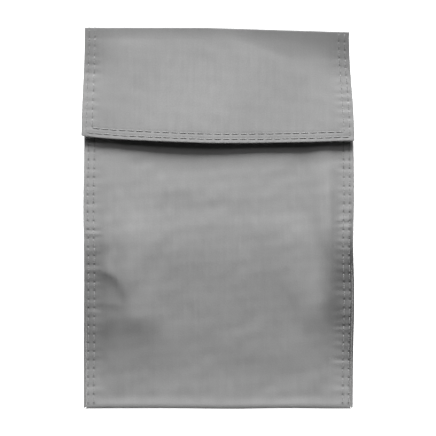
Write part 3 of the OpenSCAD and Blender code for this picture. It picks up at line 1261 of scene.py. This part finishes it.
for hand, side in (("left", -1), ("right", 1)):
    sew_side(f"seam_stitches_{hand}_outer", f"{hand}_seam_thread_outer", side, row_outer)
    sew_side(f"seam_stitches_{hand}_inner", f"{hand}_seam_thread_inner", side, row_inner)

strands = Strands()
hem_y = y_mouth - hem_w / 2
hem_places = [(x, hem_y) for x in holes_between(pitch + band_w - half_w, half_w - band_w - pitch)]
sew(strands, jitter(hem_places, 0.05), front_face, 1)
sew(strands, jitter(hem_places, 0.05), front_under_face, -1)
hem_stitches = strands.make("mouth_hem_stitches", grey_thread)
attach(hem_stitches, "pouch")
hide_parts("mouth_hem_thread")


def flap_face(x, y):
    s = y_fold - y
    return flap_shape(x, s) + flap_relief(x, s) - thread_sunk


def flap_under_face(x, y):
    s = y_fold - y
    return flap_shape(x, s) + flap_relief(x, s) - seam_cloth_t


def sew_flap(name, node, off, low_off):
    """One row round the flap's three free edges, on both faces."""
    strands = Strands()
    for face, up in ((flap_face, 1), (flap_under_face, -1)):
        corners = []
        for side in (-1, 1):
            corner_x = side * (float(flap_half(flap_mid_l - 4, side)) - off)
            corner_s = float(flap_end(np.array(corner_x))) - low_off
            corners.append(corner_x)
            down = holes_between(fold_s + 0.8, corner_s)
            places = [(side * (float(flap_half(s, side)) - off), y_fold - s) for s in down]
            sew(strands, jitter(places, 0.05), face, up)
        across = holes_between(corners[0], corners[1])
        places = [(x, y_fold - float(flap_end(np.array(x))) + low_off) for x in across]
        sew(strands, jitter(places, 0.05), face, up)
    piece = strands.make(name, grey_thread)
    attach(piece, "flap")
    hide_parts(node)
    return piece


sew_flap("flap_stitches_outer", "flap_thread_outer", row_outer, row_low_outer)
sew_flap("flap_stitches_inner", "flap_thread_inner", row_inner, row_low_inner)


def sew_fold():
    """The stitches of each side row that curve over the fold."""
    strands = Strands()
    for side in (-1, 1):
        for off in (row_outer, row_inner):
            x = side * (float(flap_half(0.0, side)) - off)
            low = float(back_shape(np.array(x), np.array(y_fold)))
            top = float(flap_shape(np.array(x), np.array(fold_s)))
            for start, stop in ((0.06, 0.36), (0.4, 0.68), (0.72, 0.98)):
                share = start + (stop - start) * stitch_steps
                y, z, out_y, out_z, _ = fold_path(share, low, top)
                y, z = y + stitch_lift * out_y, z + stitch_lift * out_z
                strands.add(np.column_stack([0 * y + x, y, z]), stitch_r)
    piece = strands.make("fold_stitches", grey_thread)
    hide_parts("top_fold_thread")
    bend_at_fold(piece)
    return piece


sew_fold()


# ---- closure tapes


tape_groove_h, tape_rib_h, tape_rib_l = 0.08, 0.015, 1.1


def tape_band(name, base_z, up, material):
    """The woven backing of a closure tape: a thin slab with rounded selvages, a little uneven."""
    xs = tape_half_l * np.sin(np.linspace(-math.pi / 2, math.pi / 2, 120))
    ys = tape_half_w * np.sin(np.linspace(-math.pi / 2, math.pi / 2, 44))
    x, y = np.meshgrid(xs, ys)
    edge = np.minimum(tape_half_l - np.abs(x), tape_half_w - np.abs(y))
    half_t = tape_back_t / 2
    round_t = rounded(edge, half_t)
    across = np.abs(y) - (tape_half_w - selvage_w / 2)
    groove = tape_groove_h * bell(across, 0.3)
    rib = tape_rib_h * np.cos(2 * math.pi * x / tape_rib_l)
    upper = base_z + up * (half_t + round_t - (groove - rib) * (round_t / half_t))
    lower = base_z + up * (half_t - round_t)
    place = y + y_tape
    outer = settle(np.stack([x, place, upper], -1))
    inner = settle(np.stack([x, place, lower], -1))
    if up < 0:
        outer, inner = outer[::-1], inner[::-1]
    uv = np.stack([x, y], -1)[:: 1 if up > 0 else -1]
    return make_cloth(name, outer, inner, uv, {"wear_and_shade": bell(edge, 0.5)}, material)


def loop_pile(name, base_z):
    """Soft loops standing on the tape, leaning every way."""
    loop_thread_r = 0.07
    rng = np.random.default_rng(301)
    strands = Strands(sides=4)
    t = np.linspace(0, math.pi, 6)
    step = 1.05
    for y in np.arange(-tape_half_w + selvage_w + 0.3, tape_half_w - selvage_w - 0.2, step):
        for x in np.arange(-tape_half_l + 0.5, tape_half_l - 0.4, step):
            px, py = x + rng.normal(0, 0.2), y + y_tape + rng.normal(0, 0.2)
            turn = rng.uniform(0, math.pi)
            lean_x, lean_y = rng.normal(0, 0.22, 2)
            wide = rng.uniform(0.35, 0.6)
            high = rng.uniform(0.42, 0.62)
            out = wide * np.cos(t)
            path_x = px + out * math.cos(turn) + lean_x * np.sin(t)
            path_y = py + out * math.sin(turn) + lean_y * np.sin(t)
            path = np.column_stack([path_x, path_y, base_z + high * np.sin(t)])
            # Painted shade, darkest at the loop's feet and lightest at its crest
            strands.add(path, np.full(len(t), loop_thread_r), np.sin(t))
    return strands.make(name, loop_material)


def hook_field(name, base_z, up):
    """Rows of stiff little hooks, each a stem that bends over; neighbouring rows face opposite ways."""
    rng = np.random.default_rng(302)
    strands = Strands(sides=5)
    t = np.linspace(0, 1, 8)
    stem, stem_h, r, shift = 0.35, 0.34, 0.17, 0.7
    turn = np.clip((t - stem) / 0.65, 0, 1) * math.radians(215)
    out = np.where(t < stem, 0.0, r * (1 - np.cos(turn)))
    rise = np.where(t < stem, t / stem * stem_h, stem_h + r * np.sin(turn))
    radii = 0.085 * (1 - 0.35 * t)
    rows = np.arange(-tape_half_w + selvage_w + 0.6, tape_half_w - selvage_w - 0.4, 1.3)
    for k, y in enumerate(rows):
        way = 1 if k % 2 else -1
        for x in np.arange(-tape_half_l + 0.7, tape_half_l - 0.6, 1.4):
            px, py = x + rng.normal(0, 0.04), y + y_tape + rng.normal(0, 0.04)
            spin = rng.normal(0, 0.14)
            path_x = px + way * out * math.sin(spin) + shift * (k % 2)
            path_y = py + way * out * math.cos(spin)
            # Painted shade, darkest at the hook's foot and lightest at its tip
            strands.add(np.column_stack([path_x, path_y, base_z + up * rise]), radii, t)
    return strands.make(name, hook_material)


loop_base = loop_low[2]
hook_base = hook_high[2]
loop_band = tape_band("loop_tape_band", loop_base, 1, woven_tape)
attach(loop_band, "pouch")
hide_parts("loop_tape")
loops = loop_pile("loop_tape_pile", loop_base + tape_back_t - 0.03)
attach(loops, "pouch")
hook_band = tape_band("hook_tape_band", hook_base, -1, woven_tape)
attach(hook_band, "flap")
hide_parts("hook_tape")
hooks = hook_field("hook_tape_hooks", hook_base - tape_back_t + 0.03, -1)
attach(hooks, "flap")


def sew_tape(name, node, body, z, up):
    """A row of stitches along each long edge of a tape."""
    strands = Strands()
    xs = holes_between(1 - tape_half_l, tape_half_l - 1)
    for side in (-1, 1):
        y = y_tape + side * (tape_half_w - selvage_w / 2)
        places = jitter([(x, y) for x in xs], 0.04)
        sew(strands, places, lambda px, py: z + 0 * px, up)
    piece = strands.make(name, black_thread)
    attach(piece, body)
    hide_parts(node)
    return piece


sew_tape("loop_tape_stitches", "loop_tape_thread", "pouch", loop_base + tape_back_t - thread_sunk, 1)
sew_tape("hook_tape_stitches", "hook_tape_thread", "flap", hook_base - tape_back_t + thread_sunk, -1)


# ---- stage, lights and camera


def floor_material():
    n = Nodes("pale_floor")
    coords = n.tree.nodes.new("ShaderNodeTexCoord")
    cloud = n.noise(coords.outputs["Object"], 3.0, 2.0, 0.5)
    n.set(
        Base_Color=n.tint(cloud, grey(0.86), grey(0.9)),
        Roughness=n.reach(cloud, 0.85, 0.95),
        Emission_Color=(1.0, 1.0, 1.0, 1.0),
        Emission_Strength=floor_glow,
    )
    return n.material


floor_glow = 1.0
floor_mesh = bpy.data.meshes.new("floor")
w = 40.0
floor_mesh.from_pydata([(-w, -w, 0), (w, -w, 0), (w, w, 0), (-w, w, 0)], [], [(0, 1, 2, 3)])
floor = bpy.data.objects.new("floor", floor_mesh)
floor_mesh.materials.append(floor_material())
floor.location = (0, 0, -0.0002)
bpy.context.scene.collection.objects.link(floor)


light_away = 16.0


def studio_light(name, power, height, width, tall):
    """A large soft light beyond the top of the bag: its power and three angles, seen from the bag."""
    a = math.radians(height)
    light = bpy.data.lights.new(name, "AREA")
    light.shape = "RECTANGLE"
    light.size = 2 * light_away * math.tan(math.radians(width / 2))
    light.size_y = 2 * light_away * math.tan(math.radians(tall / 2))
    light.energy = power
    lamp = bpy.data.objects.new(name, light)
    bpy.context.scene.collection.objects.link(lamp)
    lamp.location = (0.0, light_away * math.cos(a), light_away * math.sin(a))
    to_bag = Vector((0, 0, 0)) - Vector(lamp.location)
    lamp.rotation_euler = to_bag.to_track_quat("-Z", "Y").to_euler()


studio_light("key", 11800.0, 22.0, 34.0, 18.0)
studio_light("fill", 650.0, 43.0, 34.0, 20.0)

world = bpy.data.worlds.new("studio")
bpy.context.scene.world = world
world.use_nodes = True
sky = world.node_tree.nodes["Background"]
sky.inputs["Color"].default_value = (1.0, 1.0, 1.0, 1.0)
sky.inputs["Strength"].default_value = 0.02

# Straight down from 4 m, taking in 0.2535 m of the table
camera = bpy.data.cameras.new("camera")
camera.sensor_width = 36.0
view_height, view_width, view_level = 4.0, 0.2535, 0.006
camera.lens = camera.sensor_width * (view_height - view_level) / view_width
camera.clip_start, camera.clip_end = 0.05, 30.0
looking = bpy.data.objects.new("camera", camera)
bpy.context.scene.collection.objects.link(looking)
looking.location = (0.0, 0.0, view_height)
looking.rotation_euler = (0.0, 0.0, 0.0)
bpy.context.scene.camera = looking
bpy.context.scene.view_settings.view_transform = "Standard"
